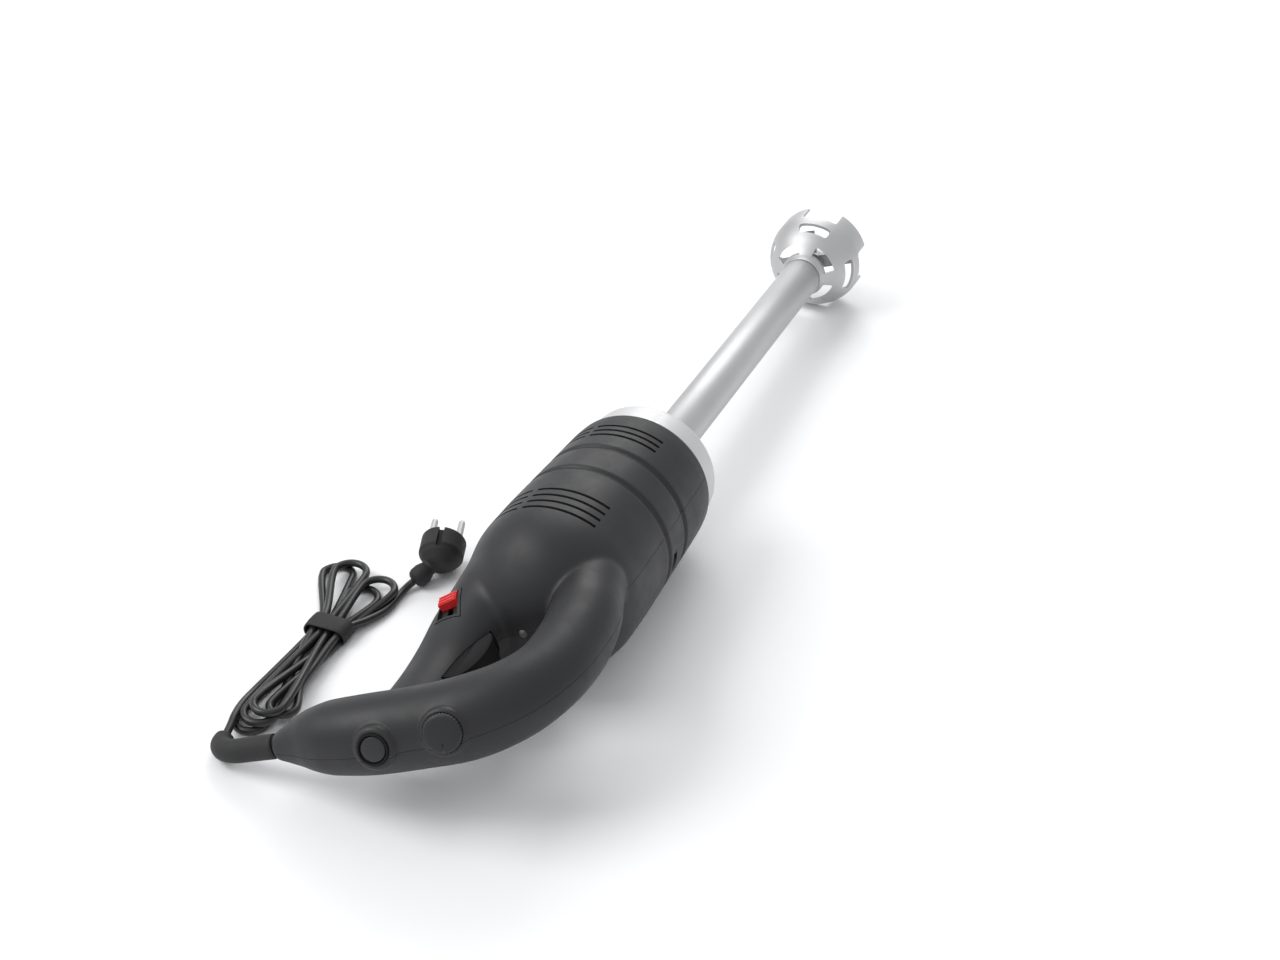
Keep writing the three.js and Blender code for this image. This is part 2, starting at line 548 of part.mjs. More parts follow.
function hankTie() {
  const [x, y, r] = HANK.waist;
  const hole = block(x - 10, x + 10, y - r - 4.2, y + r + 4.2, HANK.z0 - GAP, HANK.z1 + GAP);
  return cut(block(x - 8, x + 6, y - r - 5.4, y + r + 5.4, 0.2, HANK.z1 + 1.6), hole);
}
add('hank_tie', hankTie(), rubber, table);

// A round lead along a smooth curve.
function lead(points, steps) {
  const section = new THREE.Shape();
  section.absarc(0, 0, CORD_R, 0, 2 * Math.PI, false);
  const route = new THREE.CatmullRomCurve3(points.map(([x, y, z]) => vector(x, y, z)));
  return new THREE.ExtrudeGeometry(section, {
    steps, curveSegments: 5, bevelEnabled: false, extrudePath: route });
}
const EXIT_LEAD = [[-293.3, 152.7, 7.6], [-289.6, 153.6, 7.7], [-284.8, 154.8, 7.8]];
const PLUG_LEAD = [[-188, 126, 6], [-176, 125.4, 4.5], [-160, 124.6, 3.4], [-145, 124, 3.6],
  [-135, 124.6, 3.2], [-125, 124.9, 2.9], [-118, 124.6, 3.1], [-113.5, 123.5, 4.1], [-109.6, 121.5, 5.7]];
add('cord_lead', lead(EXIT_LEAD, 2), rubber, table);
add('plug_lead', lead(PLUG_LEAD, 8), rubber, table);

// The angled plug lies on its front rim and on the bulb of its tail; local +X points out of its face.
const PLUG = { x: -75, y: 115, z: 18.6, dip: -12, turn: 17 };
const PLUG_TAIL = { x: -15, dip: -14, turn: -42 };
const NOTCH = { half: 1.9, inner: 11.6, back: -16 };
const plug = new THREE.Group();
plug.position.set(PLUG.x, PLUG.y, PLUG.z);
plug.rotation.set(0, THREE.MathUtils.degToRad(PLUG.dip), THREE.MathUtils.degToRad(PLUG.turn), 'ZYX');
table.add(plug);

function plugBody() {
  const front = turned([[-24, 0], [-24, 6], [-22.5, 8.5], [-17.5, 13.2], [-15.5, 14.2], [-14, 15.5],
    [-0.8, 15.6], [0, 14.9], [0, 0]], 24);
  const tail = turned([[-24.5, 0], [-24.5, 4.4], [-23.5, 5.9], [-20.5, 7.2], [-16.5, 7.2], [-13, 6.2],
    [-11.5, 5.4], [-6, 6], [2, 7], [2, 0]], 16).rotateY(THREE.MathUtils.degToRad(PLUG_TAIL.dip))
    .rotateZ(THREE.MathUtils.degToRad(PLUG_TAIL.turn)).translate(PLUG_TAIL.x, 0, 0);
  const notches = [[NOTCH.inner, 25], [-25, -NOTCH.inner]]
    .map(([z0, z1]) => block(NOTCH.back, 5, -NOTCH.half, NOTCH.half, z0, z1));
  const pinHoles = [9.5, -9.5].map((y) => disc(-8, 5, 2.7, 12).translate(0, y, 0));
  return cut(join(front, tail), ...notches, ...pinHoles);
}
add('plug_body', plugBody(), rubber, plug);
for (const [name, y] of [['left', 9.5], ['right', -9.5]]) {
  add(`plug_pin_${name}`, turned([[-7, 0], [-7, 2.4], [17, 2.4], [19, 1.4], [19, 0]], 12).translate(0, y, 0),
    steel, plug);
}

// ---------- placing: lying on a table ----------
const rolled = new THREE.Group();
rolled.rotation.x = ROLL;
rolled.add(tool);
const lying = new THREE.Group();
lying.rotation.y = TILT;
lying.add(rolled);
const onTable = new THREE.Box3().setFromObject(lying, true);
lying.position.z = -onTable.min.z;
const part = new THREE.Group();
part.add(lying, table);
part.position.set(-(onTable.min.x + onTable.max.x) / 2, -(onTable.min.y + onTable.max.y) / 2, 0);

export default part;
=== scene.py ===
"""Visual layer for the immersion blender: materials, lead, hank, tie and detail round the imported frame."""
import math
import bmesh
import bpy
from mathutils import Matrix, Vector
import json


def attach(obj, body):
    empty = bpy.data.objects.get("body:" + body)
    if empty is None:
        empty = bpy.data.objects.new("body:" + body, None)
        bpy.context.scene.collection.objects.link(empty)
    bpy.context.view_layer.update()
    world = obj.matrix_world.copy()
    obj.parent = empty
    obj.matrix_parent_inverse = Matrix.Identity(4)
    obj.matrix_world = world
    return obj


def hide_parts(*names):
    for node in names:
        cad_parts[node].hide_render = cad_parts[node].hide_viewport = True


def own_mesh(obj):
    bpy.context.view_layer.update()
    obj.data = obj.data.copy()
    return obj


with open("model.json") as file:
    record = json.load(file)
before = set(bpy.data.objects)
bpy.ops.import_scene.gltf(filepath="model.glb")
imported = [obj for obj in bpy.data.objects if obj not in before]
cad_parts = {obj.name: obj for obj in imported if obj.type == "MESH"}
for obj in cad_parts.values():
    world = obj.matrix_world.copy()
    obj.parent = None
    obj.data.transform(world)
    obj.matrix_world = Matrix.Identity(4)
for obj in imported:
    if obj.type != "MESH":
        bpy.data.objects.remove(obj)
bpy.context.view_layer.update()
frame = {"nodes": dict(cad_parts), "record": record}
NODES = frame["nodes"]
MM = 0.001

# The blender's own frame, in millimetres: +X along the shaft, x = 0 at the housing's front edge. RIM is the
# middle of that edge in the part's frame.
RIM = Vector((-33.385, -44.962, 53.317))
TILT = math.radians(2.1)
ROLL = math.radians(-20)
TOOL = Matrix.Translation(RIM) @ Matrix.Rotation(TILT, 4, "Y") @ Matrix.Rotation(ROLL, 4, "X")
HOME = TOOL.inverted() @ Matrix.Scale(1 / MM, 4)    # from the part's frame back to the blender's own


def floor(x, y, z):
    """A point over the table, in millimetres, counted from below the housing's front edge."""
    return Vector((x + RIM.x, y + RIM.y, z)) * MM


# ---------------------------------------------------------------- camera
CAMERA_FROM_RIM = Vector((-1041.4, -446.1, 790.7))
CAMERA_LOOK = Vector((0.7535, 0.3228, -0.5720))
camera = bpy.data.objects.new("camera", bpy.data.cameras.new("camera"))
bpy.context.scene.collection.objects.link(camera)
bpy.context.scene.camera = camera
camera.data.sensor_width = 36
camera.data.lens = 56.25
camera.data.clip_start = 0.05
camera.data.clip_end = 30
camera.location = (RIM + CAMERA_FROM_RIM) * MM
camera.rotation_euler = CAMERA_LOOK.to_track_quat("-Z", "Y").to_euler()


# ---------------------------------------------------------------- helpers
def link(obj):
    bpy.context.scene.collection.objects.link(obj)
    return obj


def mesh_object(name, bm):
    """A new object from a bmesh, with its faces pointing out."""
    bmesh.ops.recalc_face_normals(bm, faces=bm.faces)
    mesh = bpy.data.meshes.new(name)
    bm.to_mesh(mesh)
    bm.free()
    for face in mesh.polygons:
        face.use_smooth = True
    return link(bpy.data.objects.new(name, mesh))


def catmull(points, steps):
    """A smooth line through the points, with this many steps from each to the next."""
    line = []
    last = len(points) - 1
    for i in range(last):
        p0, p1, p2, p3 = (points[max(i - 1, 0)], points[i], points[i + 1], points[min(i + 2, last)])
        t1 = max((p1 - p0).length, 1e-9) ** 0.5
        t2 = max((p2 - p1).length, 1e-9) ** 0.5
        t3 = max((p3 - p2).length, 1e-9) ** 0.5
        m1 = (p2 - p1) / t2 if i == 0 else (p1 - p0) / t1 - (p2 - p0) / (t1 + t2) + (p2 - p1) / t2
        m2 = (p2 - p1) / t2 if i == last - 1 else (p2 - p1) / t2 - (p3 - p1) / (t2 + t3) + (p3 - p2) / t3
        m1 = m1 * t2
        m2 = m2 * t2
        for k in range(steps):
            t = k / steps
            line.append(p1 * (2 * t ** 3 - 3 * t ** 2 + 1) + m1 * (t ** 3 - 2 * t ** 2 + t)
                        + p2 * (3 * t ** 2 - 2 * t ** 3) + m2 * (t ** 3 - t ** 2))
    line.append(points[-1].copy())
    return line


def round_angles(sides):
    return [2 * math.pi * k / sides for k in range(sides)]


def heading(line, i):
    """The way a line runs at its point i, not normalized."""
    return line[min(i + 1, len(line) - 1)] - line[max(i - 1, 0)]


def band(bm, a, b):
    """Faces between two rings of vertices; a ring of one vertex is a pole."""
    sides = max(len(a), len(b))
    for k in range(sides):
        n = (k + 1) % sides
        corners = (a[k % len(a)], a[n % len(a)], b[n % len(b)], b[k % len(b)])
        corners = list(dict.fromkeys(corners))
        if len(corners) > 2:
            bm.faces.new(corners)


def loft(rings):
    """A skin over rings of points, with a flat cap at each end."""
    bm = bmesh.new()
    rows = [[bm.verts.new(p) for p in ring] for ring in rings]
    for a, b in zip(rows, rows[1:]):
        band(bm, a, b)
    bm.faces.new(rows[0])
    bm.faces.new(rows[-1])
    return bm


def rounded_box(x0, x1, y0, y1, r):
    """Points round a box with rounded corners, each with the angle it faces."""
    corners = ((x1 - r, y1 - r, 0), (x0 + r, y1 - r, 90), (x0 + r, y0 + r, 180), (x1 - r, y0 + r, 270))
    points = []
    for x, y, start in corners:
        for k in range(7):
            a = math.radians(start + 15 * k)
            points.append((x + r * math.cos(a), y + r * math.sin(a), a))
    return points


# ---------------------------------------------------------------- the lead
CORD_D = 5.2
LEVEL = [2.9, 8.1, 13.3]    # the height of the lead's middle in each layer of the hank
FOLD_STEPS = 6
# Middle x, middle y, radius and level of each fold, in the order the lead goes through them.
FAR_FOLDS = [(-121.5, 174.5, 11.0, 0), (-121, 164.5, 11.5, 1), (-137, 147, 11.5, 0), (-129.5, 138, 11.5, 1)]
NEAR_FOLDS = [(-271, 149, 10.5, 0), (-267, 144, 10.5, 1), (-262, 140, 10, 2), (-256, 134, 9, 1)]
# Where each run passes under the tie: y and level. It lies straight for this far to each side of WAIST_X.
WAIST_X = -177
UNDER_TIE = 8
WAIST = [(158.5, 0), (153.2, 0), (155.8, 1), (150.5, 1), (147.9, 0), (142.6, 0), (145.2, 1), (137.3, 0),
         (139.9, 1)]
# The lead before and after the hank's turns.
FROM_BOOT = [(-293.3, 152.7, 7.6), (-289.6, 153.6, 7.7), (-284.8, 154.8, 7.8), (-276, 157.4, 8),
             (-262, 161, 5.4), (-248, 162.2, 3.2), (-225, 160.8, 2.9), (-200, 159.2, 2.9)]
TO_PLUG = [(-158, 130.5, 5), (-145, 126, 3.6), (-135, 124.6, 3.2), (-125, 124.9, 2.9), (-118, 124.6, 3.1),
           (-113.5, 123.5, 4.1), (-109.6, 121.5, 5.7)]


def fold(middle_x, middle_y, radius, level, to_far, from_left):
    """Points round one fold; from_left is true where it is entered on its +Y side."""
    points = []
    for k in range(FOLD_STEPS + 1):
        angle = math.pi * k / FOLD_STEPS
        across = math.cos(angle) * (1 if from_left else -1)
        out = math.sin(angle) * (1 if to_far else -1)
        points.append(floor(middle_x + out * radius, middle_y + across * radius, LEVEL[level]))
    return points


def lead_route():
    """From the strain relief, through the hank to the plug's tail."""
    route = [floor(*point) for point in FROM_BOOT]
    for turn in range(len(FAR_FOLDS)):
        for run, at_far in ((2 * turn, True), (2 * turn + 1, False)):
            y, level = WAIST[run]
            ends = (-UNDER_TIE, UNDER_TIE) if at_far else (UNDER_TIE, -UNDER_TIE)
            route += [floor(WAIST_X + end, y, LEVEL[level]) for end in ends]
            middle_x, middle_y, radius, fold_level = (FAR_FOLDS if at_far else NEAR_FOLDS)[turn]
            route += fold(middle_x, middle_y, radius, fold_level, at_far, at_far or y > middle_y)
    y, level = WAIST[-1]
    route += [floor(-236, 133.6, LEVEL[level]), floor(-214, 136, LEVEL[level]),
              floor(WAIST_X - UNDER_TIE, y - 2, LEVEL[level]), floor(WAIST_X + 6, y - 4, 7.4)]
    route += [floor(*point) for point in TO_PLUG]
    return catmull(route, 6)


def tube(name, line, radius, sides=14):
    """A round skin along a line, closed at both ends."""
    rings = []
    side = Vector((0, 0, 1))
    for i, middle in enumerate(line):
        along = heading(line, i).normalized()
        side = (side - along * side.dot(along)).normalized()
        up = along.cross(side)
        rings.append([middle + (side * math.cos(a) + up * math.sin(a)) * radius for a in round_angles(sides)])
    return mesh_object(name, loft(rings))


lead_line = lead_route()
lead = tube("mains_lead", lead_line, CORD_D / 2 * MM)


TIE_BOX = (133.6, 162.2, 0.35, 11.6)    # what the tie goes round: y from and to, then z
TIE_CORNER = 5.2
TIE_HALF = 7
TIE_THICK = 1.1
TIE_BOW = 0.5
TIE_COLUMNS = 9


def strap(name):
    """The flat tie: a band round the waist of the hank, bowed out a little across its width."""
    bm = bmesh.new()
    across = [k / (TIE_COLUMNS - 1) for k in range(TIE_COLUMNS)]
    rings = []
    for y, z, angle in rounded_box(*TIE_BOX, TIE_CORNER):
        ny, nz = math.cos(angle), math.sin(angle)
        ring = []
        for t in across:
            out = TIE_THICK + TIE_BOW * math.cos((t - 0.5) * math.pi)
            rise = out if nz > 0 else TIE_THICK * 0.2    # thin below, where it lies on the table
            x = WAIST_X + TIE_HALF * (2 * t - 1)
            ring.append(bm.verts.new(floor(x, y + ny * out, z + nz * rise)))
        for t in reversed(across):
            ring.append(bm.verts.new(floor(WAIST_X + TIE_HALF * (2 * t - 1), y, z)))
        rings.append(ring)
    for a, b in zip(rings, rings[1:] + rings[:1]):
        band(bm, a, b)
    return mesh_object(name, bm)


tie = strap("tie_strap")


# ---------------------------------------------------------------- solids
UPRIGHT = Matrix.Rotation(-math.pi / 2, 4, "Y")    # turns a body of revolution about X to stand along Z
CORNER_UP = Matrix.Rotation(math.pi / 2, 4, "X")   # turns a hexagon about X so that a corner points along Z


def revolve(points, sides, wave=None):
    """A closed body of revolution about X from (x, radius) points; wave(index, angle) adds to a radius."""
    closed = points[0][1] > 0
    bm = bmesh.new()
    rings = []
    for i, (x, r) in enumerate(points):
        if r == 0:
            rings.append([bm.verts.new((x, 0, 0))])
            continue
        ring = []
        for angle in round_angles(sides):
            radius = r + (wave(i, angle) if wave else 0)
            ring.append(bm.verts.new((x, radius * math.cos(angle), radius * math.sin(angle))))
        rings.append(ring)
    pairs = list(zip(rings, rings[1:])) + ([(rings[-1], rings[0])] if closed else [])
    for a, b in pairs:
        band(bm, a, b)
    return bm


def moved(bm, place):
    """The bmesh itself, after it is moved by a matrix."""
    bm.transform(place)
    return bm


def solid(name, bm, place=TOOL):
    """A bmesh drawn in millimetres in the frame of place, as an object in the part's frame."""
    return mesh_object(name, moved(bm, Matrix.Scale(MM, 4) @ place))


def prism(outline, x0, x1):
    """A closed prism along X over (y, z) points."""
    return loft([[Vector((x, y, z)) for y, z in outline] for x in (x0, x1)])


def sector(x0, x1, inner, outer, middle, half, steps):
    """Part of a ring about X; angles in degrees from +Y towards +Z."""
    angles = [math.radians(middle + half * (2 * k / steps - 1)) for k in range(steps + 1)]
    outline = [(outer * math.cos(a), outer * math.sin(a)) for a in angles]
    outline += [(inner * math.cos(a), inner * math.sin(a)) for a in reversed(angles)]
    return prism(outline, x0, x1)


def block(x0, x1, y0, y1, z0, z1):
    return prism([(y0, z0), (y1, z0), (y1, z1), (y0, z1)], x0, x1)


def post(x, y, z0, z1, r):
    """A cylinder along Z."""
    return moved(revolve([(z0, 0), (z0, r), (z1, r), (z1, 0)], 48), Matrix.Translation((x, y, 0)) @ UPRIGHT)


def together(*meshes):
    """Several bmeshes in one, not merged."""
    whole = bmesh.new()
    for bm in meshes:
        part = bpy.data.meshes.new("part")
        bm.to_mesh(part)
        bm.free()
        whole.from_mesh(part)
        bpy.data.meshes.remove(part)
    return whole


def bake(obj):
    """Applies the modifiers."""
    graph = bpy.context.evaluated_depsgraph_get()
    mesh = bpy.data.meshes.new_from_object(obj.evaluated_get(graph))
    old = obj.data
    obj.modifiers.clear()
    obj.data = mesh
    bpy.data.meshes.remove(old)
    return obj


def boolean(obj, how, *tools):
    for cutter in tools:
        step = obj.modifiers.new("boolean", "BOOLEAN")
        step.operation = how
        step.solver = "MANIFOLD"
        step.object = cutter
    bake(obj)
    for cutter in tools:
        bpy.data.objects.remove(cutter)
    return obj


def shade(obj, angle):
    obj.data.shade_smooth()
    obj.data.set_sharp_from_angle(angle=math.radians(angle))
    return obj


def bevel(obj, width, segments, angle):
    step = obj.modifiers.new("bevel", "BEVEL")
    step.width = width * MM
    step.segments = segments
    step.limit_method = "ANGLE"
    step.angle_limit = math.radians(angle)
    return obj


def frame_at(origin, normal, along):
    """The frame of something fitted square to the housing; its +Z is the normal."""
    z = Vector(normal).normalized()
    x = Vector(along)
    x = (x - z * x.dot(z)).normalized()
    y = z.cross(x)
    turn = Matrix((x, y, z)).transposed().to_4x4()
    return TOOL @ Matrix.Translation(origin) @ turn


START = frame_at((-314.2, 31, 5), (-0.93, -0.22, 0.3), (0, 1, 0))
SPEED = frame_at((-303.2, -11, 7), (-0.89, -0.33, 0.33), (0, 1, 0))
LOCK = frame_at((-198.8, 39.2, 22.6), (-0.22, 0.18, 0.96), (-0.93, -0.3, -0.2))


# ---------------------------------------------------------------- housing shells
BODY_R = 57.6
DOME_X = -134
END_X = -192
WALL = 3
GROOVES = ((-51, 55.1), (-81, 56.3))    # x and the housing's radius there
GROOVE_HALF = 2.9
GROOVE_DEPTH = 1.9
# The web behind the housing: x, y and its half sizes along Y and Z.
SPINE = [(-96, 0, 53, 53), (-128, 7, 49, 50), (-150, 18, 40, 43), (-170, 27, 33, 34), (-195, 35, 26, 25),
         (-220, 38, 21, 17), (-245, 37, 20, 14), (-286, 36, 20, 13)]
# The handle: x, y, z and radius.
GRIP = [(-139, -33, 8, 13), (-144, -34.6, 8, 19.2), (-152, -37, 8, 22), (-164, -40.5, 7, 22),
        (-182, -45.5, 4, 22.8), (-207, -48, 1, 23.2), (-238, -46, 0, 22.8), (-262, -34, 0, 24),
        (-279, -12, 0, 25), (-288, 17, 0, 24.5), (-294, 47, 0, 24.3), (-297, 74, 0, 22.6),
        (-299, 90, 0, 18.6), (-302, 101, 0, 13.4), (-304.6, 110, 0, 9.2), (-304.9, 112, 0, 8.4)]


def dome(radius, end, steps):
    """The housing's rounded rear, from its widest ring to the axis."""
    angles = [math.pi / 2 * k / steps for k in range(steps)]
    return [(DOME_X + (end - DOME_X) * math.sin(a), radius * math.cos(a)) for a in angles] + [(end, 0)]


def body_profile():
    """The housing's outline without its front edge and grooves, which are cut later."""
    front = [(10, 0), (10, 52.2), (-4, 52.6), (-12, 53.6), (-30, 54.4), *GROOVES, (-106, 57.2)]
    return front + dome(BODY_R, END_X, 24)


def front_edge():
    """What is cut away in front of the housing and round its front edge."""
    rounding = [(0, 49.5), (-0.5, 50.8), (-1.2, 51.4), (-2.5, 52.05), (-4, 52.7)]
    return revolve([(0, 0), *rounding, (-4, 70), (20, 70), (20, 0)], 160)


def ring_groove(x, radius):
    """A round-bottomed groove round the housing."""
    r = (GROOVE_HALF ** 2 + GROOVE_DEPTH ** 2) / (2 * GROOVE_DEPTH)
    middle = radius + r - GROOVE_DEPTH
    return revolve([(x + r * math.cos(a), middle + r * math.sin(a)) for a in round_angles(20)], 160)


def spine_form(inset, steps, sides):
    """The web as a solid, this far inside its own outline."""
    middle = catmull([Vector((x, y, 0)) for x, y, _, _ in SPINE], steps)
    size = catmull([Vector((x, a, b)) for x, _, a, b in SPINE], steps)
    rings = []
    for c, s in zip(middle, size):
        rings.append([Vector((c.x, c.y + (s.y - inset) * math.cos(a), (s.z - inset) * math.sin(a)))
                      for a in round_angles(sides)])
    return loft(rings)


def grip_form(inset, steps, sides):
    """The handle as a solid, this far inside its own outline."""
    line = catmull([Vector((x, y, z)) for x, y, z, _ in GRIP], steps)
    size = catmull([Vector((i, r, 0)) for i, (_, _, _, r) in enumerate(GRIP)], steps)
    rings = []
    for i, (c, s) in enumerate(zip(line, size)):
        along = heading(line, i)
        side = Vector((-along.y, along.x, 0)).normalized()
        r = s.y - inset
        rings.append([c + side * r * math.cos(a) + Vector((0, 0, r * math.sin(a)))
                      for a in round_angles(sides)])
    return loft(rings)


def boss(radius, top, chamfer):
    """The raised ring of the housing round a control; the control's own seat is cut into it later."""
    outline = [(-14, 0), (-14, radius), (top - chamfer, radius), (top, radius - chamfer), (top, 0)]
    return moved(revolve(outline, 96), UPRIGHT)


VENT_MIDDLES = (111, 55, -55, -111)
VENT_ROWS = (-20.5, -27, -33.5, -111, -118.5, -126, -133.5)
VENT_HALF = 1.2


def vents():
    """One cutter for all the slots: the same rows in each group round the housing."""
    return solid("vents", together(*[sector(x - VENT_HALF, x + VENT_HALF, 44.5, 62, middle, 26, 28)
                                     for middle in VENT_MIDDLES for x in VENT_ROWS]))


def remeshed(obj, size, rounds):
    """One closed skin round everything in the mesh, softened; the size is in millimetres."""
    step = obj.modifiers.new("remesh", "REMESH")
    step.mode = "VOXEL"
    step.voxel_size = size * MM
    soften = obj.modifiers.new("soften", "SMOOTH")
    soften.factor = 0.5
    soften.iterations = rounds
    return bake(obj)


# Where the hollow behind the housing is softened, and how far in from there the softening is full.
WEB_X = (-196, -112)
WEB_Y = -4
WEB_FADE = 14


def blend_web(obj, rounds):
    """Softens the hollow between the housing's rear end and the web that carries the handle."""
    group = obj.vertex_groups.new(name="web")
    for vertex in obj.data.vertices:
        place = HOME @ vertex.co
        inside_by = min(place.x - WEB_X[0], WEB_X[1] - place.x, place.y - WEB_Y)
        weight = min(1, max(0, inside_by / WEB_FADE))
        if weight > 0:
            group.add([vertex.index], weight, "REPLACE")
    soften = obj.modifiers.new("soften", "SMOOTH")
    soften.vertex_group = "web"
    soften.factor = 0.5
    soften.iterations = rounds
    bake(obj)
    obj.vertex_groups.clear()


# x, y and the depth of each screw's seat.
SCREWS = [(-72, 49.6, -16), (-72, -49.6, -16), (-252, 47, -6), (-222, -49, -10), (-298, 66, -10)]
LAMP = Matrix.Translation((0, -4, 0))
NECK = Matrix.Translation((-305, 108, 0)) @ Matrix.Rotation(math.pi / 2, 4, "Z")
SPLIT = 0.12    # half the gap between the two shells


def outer_form():
    """The housing and its handle as one softened solid, with its bosses, front edge and grooves."""
    size, rounds, web_rounds = ((1.2, 20, 80))
    last_size, last_rounds = ((0.9, 4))
    outer = solid("outer", together(revolve(body_profile(), 160), spine_form(0, 8, 72), grip_form(0, 8, 56)))
    remeshed(outer, size, rounds)
    blend_web(outer, web_rounds)
    boolean(outer, "UNION", solid("start_boss", boss(13.5, 4.4, 2.0), START))
    boolean(outer, "UNION", solid("speed_boss", boss(14.5, 2.4, 1.5), SPEED))
    boolean(outer, "DIFFERENCE", solid("front", front_edge()),
            *[solid("groove", ring_groove(*groove)) for groove in GROOVES])
    return remeshed(outer, last_size, last_rounds)


def rooms():
    """Cutters for what is hollow: the nose's seat, the motor's room, the web and the handle."""
    mouth = [(5, 0), (5, 46.6), (-6, 46.6), (-6, 49.8), (-10.6, 49.8), (-10.6, 46.6), (-12.4, 46.6),
             (-12.4, 0)]
    cavity = [(-12.3, 0), (-12.3, 50.4), (-48, 51.3), (-55, 51.3), (-78, 52.2), (-92, 53.4)]
    cavity += dome(BODY_R - WALL, END_X + WALL, 16)
    forms = [revolve(mouth, 96), revolve(cavity, 96), spine_form(WALL, 4, 40), grip_form(WALL, 4, 32)]
    return [solid("room", bm) for bm in forms]


def openings():
    """Cutters for the vents, the screws' seats and everything that reaches out through the housing."""
    lamp = [(-200, 0), (-200, 3.3), (-180, 3.3), (-180, 0)]
    neck = [(-12, 0), (-12, 6.2), (12, 6.2), (12, 0)]
    start = [(-25, 0), (-25, 8.3), (1.9, 8.3), (1.9, 10.1), (9, 10.1), (9, 0)]
    speed = [(-12, 0), (-12, 3.4), (-2, 3.4), (-2, 12.2), (9, 12.2), (9, 0)]
    return [
        vents(),
        *[solid("seat", post(x, y, -70, seat, 3.9)) for x, y, seat in SCREWS],
        solid("window", block(-249.6, -199.2, -8, 28, -8.4, 8.4)),
        solid("lamp", moved(revolve(lamp, 40), LAMP)),
        solid("neck", moved(revolve(neck, 40), NECK)),
        solid("pocket", block(-17.3, 6.3, -9.3, 9.3, -4.5, 12), LOCK),
        solid("slot", block(-13, 2.3, -2.6, 2.6, -9, 0), LOCK),
        solid("recess", moved(revolve(start, 96), UPRIGHT), START),
        solid("recess", moved(revolve(speed, 96), UPRIGHT), SPEED),
    ]


def housing():
    """The two shells, split on the plane of the handle."""
    outer = outer_form()
    boolean(outer, "DIFFERENCE", *rooms(), *openings())
    halves = []
    for name, z0, z1 in (("shell_upper", SPLIT, 200), ("shell_lower", -200, -SPLIT)):
        half = link(bpy.data.objects.new(name, outer.data.copy()))
        boolean(half, "INTERSECT", solid("half", block(-400, 100, -200, 200, z0, z1)))
        halves.append(shade(half, 38))
    bpy.data.objects.remove(outer)
    return halves


PIECES = []


def piece(obj, body, slot, *nodes):
    """A finished piece: what it rides on, its material slot, and the CAD nodes it stands for."""
    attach(obj, body)
    if nodes:
        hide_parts(*nodes)
    PIECES.append((obj, slot))
    return obj


upper, lower = housing()
piece(upper, "machine", "black", "housing_upper")
piece(lower, "machine", "black", "housing_lower")


# ---------------------------------------------------------------- nose, tube and bell
NOSE = [(-20, 13.3), (-20, 17.5), (-10.3, 17.5), (-10.3, 49.3), (-6.3, 49.3), (-6.3, 46.2), (0.3, 46.2),
        (0.3, 48.1), (0.7, 48.5), (16.8, 48.5), (18, 48.3), (19.1, 47.8), (19.9, 47), (20.4, 46),
        (20.6, 44.8), (20.6, 29), (20.8, 26.8), (21.4, 25.2), (22.4, 24.2), (23.8, 23.6), (26.4, 23),
        (27, 22.4), (27, 15.8), (16, 15.8), (16, 13.3), (4, 13.3), (4, 9), (-10, 9), (-10, 13.3)]
piece(shade(solid("nose_collar", revolve(NOSE, 160)), 40), "machine", "alu", "front_nose")
TUBE = [(16.3, 14), (16.3, 15.2), (16.6, 15.5), (335.7, 15.5), (336, 15.2), (336, 14)]
piece(shade(solid("shaft_sleeve", revolve(TUBE, 120)), 50), "machine", "steel", "shaft_tube")


def window(x0, x1, middle, half, corner, inner, outer):
    """A cutter for a round-cornered opening in a skin about X; its sides point at the axis."""
    spread = math.radians(half) * outer
    box = rounded_box(x0, x1, -spread, spread, corner)
    outline = [(x, y / outer + math.radians(middle)) for x, y, _ in box]
    return loft([[Vector((x, r * math.cos(a), r * math.sin(a))) for x, a in outline] for r in (inner, outer)])


OUTER_SKIN = [(336.3, 16.2), (340, 17.6), (344, 21.5), (349, 27.5), (355, 32.5), (362, 36.3), (370, 38.6),
              (378, 39)]
INNER_SKIN = [(378, 37), (370, 36.5), (362, 34.1), (355, 30), (349, 24.6), (344.5, 18.8), (343.2, 14)]
LOBES = (67, 157, 247, 337)    # the middle of each lobe, in degrees from +Y towards +Z
# Faces behind DOME_BACK that turn to the axis past FACES_IN get the darker steel of painted shade inside the
# bell.
DOME_BACK = 342
FACES_IN = -0.25


def bell():
    """The guard: a thin dome with notches between its lobes, a window over each notch, and vents."""
    outer, inner = (catmull([Vector((x, r, 0)) for x, r in skin], 5) for skin in (OUTER_SKIN, INNER_SKIN))
    profile = [(306, 11.8), (306, 13.7), (336.3, 13.7)] + [(p.x, p.y) for p in outer]
    profile += [(388.6, 39), (389, 38.6), (389, 37.4), (388.6, 37)]
    profile += [(p.x, p.y) for p in inner] + [(343, 11.8)]
    obj = solid("bell_guard", revolve(profile, 176))
    cutters = []
    for lobe in LOBES:
        notch = lobe + 45
        cutters += [window(371, 410, notch, 22, 3.2, 28, 42), window(354.5, 362.5, notch, 22, 2.6, 26, 42),
                    sector(330, 360, 18.2, 25, lobe, 29, 24)]
    boolean(obj, "DIFFERENCE", *[solid("window", bm) for bm in cutters])
    # The bell's inner faces take a darker steel: painted shade.
    inside(obj)
    return shade(bevel(obj, 0.35, 2, 45), 40)


def inside(obj):
    """Gives the faces that look at the axis the second material, a darker steel that paints the shade inside
    the bell.
    """
    for face in obj.data.polygons:
        place = HOME @ face.center
        out = Vector((0, place.y, place.z)).normalized()
        if place.x > DOME_BACK and face.normal.dot(TOOL.to_3x3() @ out) < FACES_IN:
            face.material_index = 1


piece(bell(), "machine", "steel", "bell")


